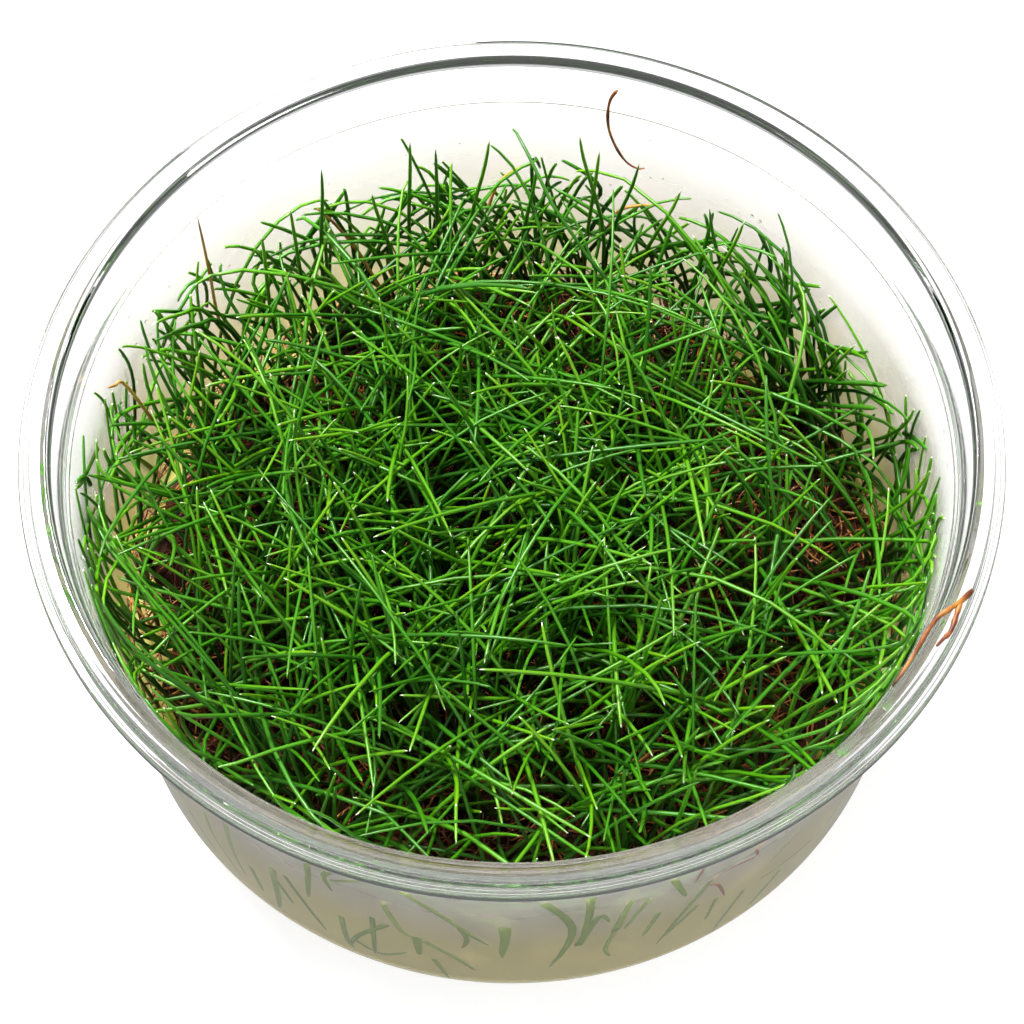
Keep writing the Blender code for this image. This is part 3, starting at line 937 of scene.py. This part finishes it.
def add_pressed_roots(finish):
    """Curls of root that the condensation holds on the front of the wall."""
    stations = 14
    t = np.linspace(0.0, 1.0, stations)
    flat = np.stack([smooth_route(route, stations) for _, route in PRESSED_ROOTS])
    gauge = np.array([radius for radius, _ in PRESSED_ROOTS])
    paths = pressed(np.radians(flat[:, :, 0]), flat[:, :, 1], gauge)
    traits = {
        "along": np.tile(t, (len(paths), 1)),
        "chance": np.full(len(paths), 0.5),
        "dry": np.ones(len(paths)),
    }
    shape = np.interp(t, (0.0, 0.2, 0.8, 1.0), (0.5, 1.0, 0.9, 0.4))
    curls = strands("roots_on_wall", paths, gauge[:, None] * shape, traits, finish, sides=6)
    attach(curls, "root")


BEADS = 420
BEAD_RADIUS = (0.08, 0.3)


def add_beads():
    """Beads of condensation that sit half in the misted wall."""
    draw = np.random.default_rng(SEED + 2)
    shape = bmesh.new()
    bmesh.ops.create_icosphere(shape, subdivisions=2, radius=1.0)
    shape.verts.ensure_lookup_table()
    ball = np.array([vert.co for vert in shape.verts])
    ball_faces = np.array([[vert.index for vert in face.verts] for face in shape.faces])
    shape.free()
    radius = BEAD_RADIUS[0] + (BEAD_RADIUS[1] - BEAD_RADIUS[0]) * draw.beta(1.0, 3.0, BEADS)
    angle = draw.uniform(0.0, 2.0 * np.pi, BEADS)
    height = draw.uniform(4.0, 37.0, BEADS)
    place = outer_radius(height) - WALL - 0.4 * radius
    centre = np.stack([place * np.cos(angle), place * np.sin(angle), height], axis=1)
    points = centre[:, None, :] + ball[None] * radius[:, None, None] * np.array((1.0, 1.0, 1.25))
    faces = ball_faces[None] + (np.arange(BEADS) * len(ball))[:, None, None]
    water = Shader("water_bead")
    water.set(Base_Color=(0.97, 0.98, 0.96, 1.0), Transmission_Weight=1.0, IOR=1.33, Roughness=0.02)
    water.bump(water.noise(500.0), 0.1, 0.05)
    beads = mesh_object("condensation_beads", points.reshape(-1, 3) * MM, faces.reshape(-1, 3), water.material)
    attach(beads, "root")


# Stage: a glowing white table, a sky that is white at the horizon and grey overhead, and two lamps
# Grey of the sky by the height of a direction, from -1 straight down to 1 straight up
SKY_GREYS = ((-0.1, 0.4), (0.0, 0.9), (0.1, 0.9), (0.45, 0.08))
LAMPS = (
    ("key", (-0.2, 0.24, 0.55), 0.13, 8.5),
    ("fill", (0.3, -0.25, 0.55), 0.4, 1.0),
)


def add_stage():
    floor = mesh_object("floor", [(-3, -3, -0.0002), (3, -3, -0.0002), (3, 3, -0.0002), (-3, 3, -0.0002)], [(0, 1, 2, 3)])
    shader = Shader("pale_floor")
    shader.set(Base_Color=(0.3, 0.3, 0.3, 1.0), Roughness=0.9, Specular_IOR_Level=0.1)
    shader.set(Emission_Color=(1.0, 1.0, 1.0, 1.0), Emission_Strength=0.85)
    floor.visible_glossy = False
    floor.data.materials.append(shader.material)

    world = bpy.data.worlds.new("soft_studio")
    world.use_nodes = True
    tree = world.node_tree
    background = tree.nodes["Background"]
    coordinates = tree.nodes.new("ShaderNodeTexCoord")
    split = tree.nodes.new("ShaderNodeSeparateXYZ")
    ramp = tree.nodes.new("ShaderNodeValToRGB")
    tree.links.new(coordinates.outputs["Generated"], split.inputs["Vector"])
    height = tree.nodes.new("ShaderNodeMapRange")
    height.inputs["From Min"].default_value = -1.0
    tree.links.new(split.outputs["Z"], height.inputs["Value"])
    tree.links.new(height.outputs["Result"], ramp.inputs["Fac"])
    tree.links.new(ramp.outputs["Color"], background.inputs["Color"])
    while len(ramp.color_ramp.elements) < len(SKY_GREYS):
        ramp.color_ramp.elements.new(0.5)
    for element, (rise, grey) in zip(ramp.color_ramp.elements, SKY_GREYS):
        element.position = (rise + 1.0) / 2.0
        element.color = (grey, grey, grey, 1.0)
    bpy.context.scene.world = world
    for name, place, size, power in LAMPS:
        light = bpy.data.lights.new(name, "AREA")
        light.size = size
        light.energy = power
        lamp = bpy.data.objects.new(name, light)
        lamp.location = place
        lamp.rotation_euler = Vector(place).to_track_quat("Z", "Y").to_euler()
        bpy.context.scene.collection.objects.link(lamp)


def add_camera():
    lens = bpy.data.cameras.new("camera")
    lens.sensor_fit = "HORIZONTAL"
    lens.sensor_width = SENSOR_WIDTH
    lens.lens = SENSOR_WIDTH * FOCAL_PIXELS / FRAME_PIXELS
    lens.clip_start = 0.01
    lens.clip_end = 20.0
    camera = bpy.data.objects.new("camera", lens)
    rise = math.radians(CAMERA_ELEVATION)
    camera.location = (
        0.0,
        -CAMERA_DISTANCE * math.cos(rise) * MM,
        (CUP_HEIGHT + CAMERA_DISTANCE * math.sin(rise)) * MM,
    )
    camera.rotation_euler = (math.radians(90.0 - CAMERA_PITCH), 0.0, 0.0)
    bpy.context.scene.collection.objects.link(camera)
    bpy.context.scene.camera = camera


add_camera()
add_stage()
add_cup()
add_gel()
add_root_mat()
add_grass()
add_beads()
brown = dead_root()
add_pressed_roots(brown)
add_loose_root("forked_root", "rim_root", (RIM_ROOT_ROUTE, RIM_ROOT_BRANCH), 0.26, brown)
add_loose_root("curled_root", "wall_root", (WALL_ROOT_ROUTE,), 0.17, brown)

view = bpy.context.scene.view_settings
view.view_transform = "Standard"
view.look = "None"
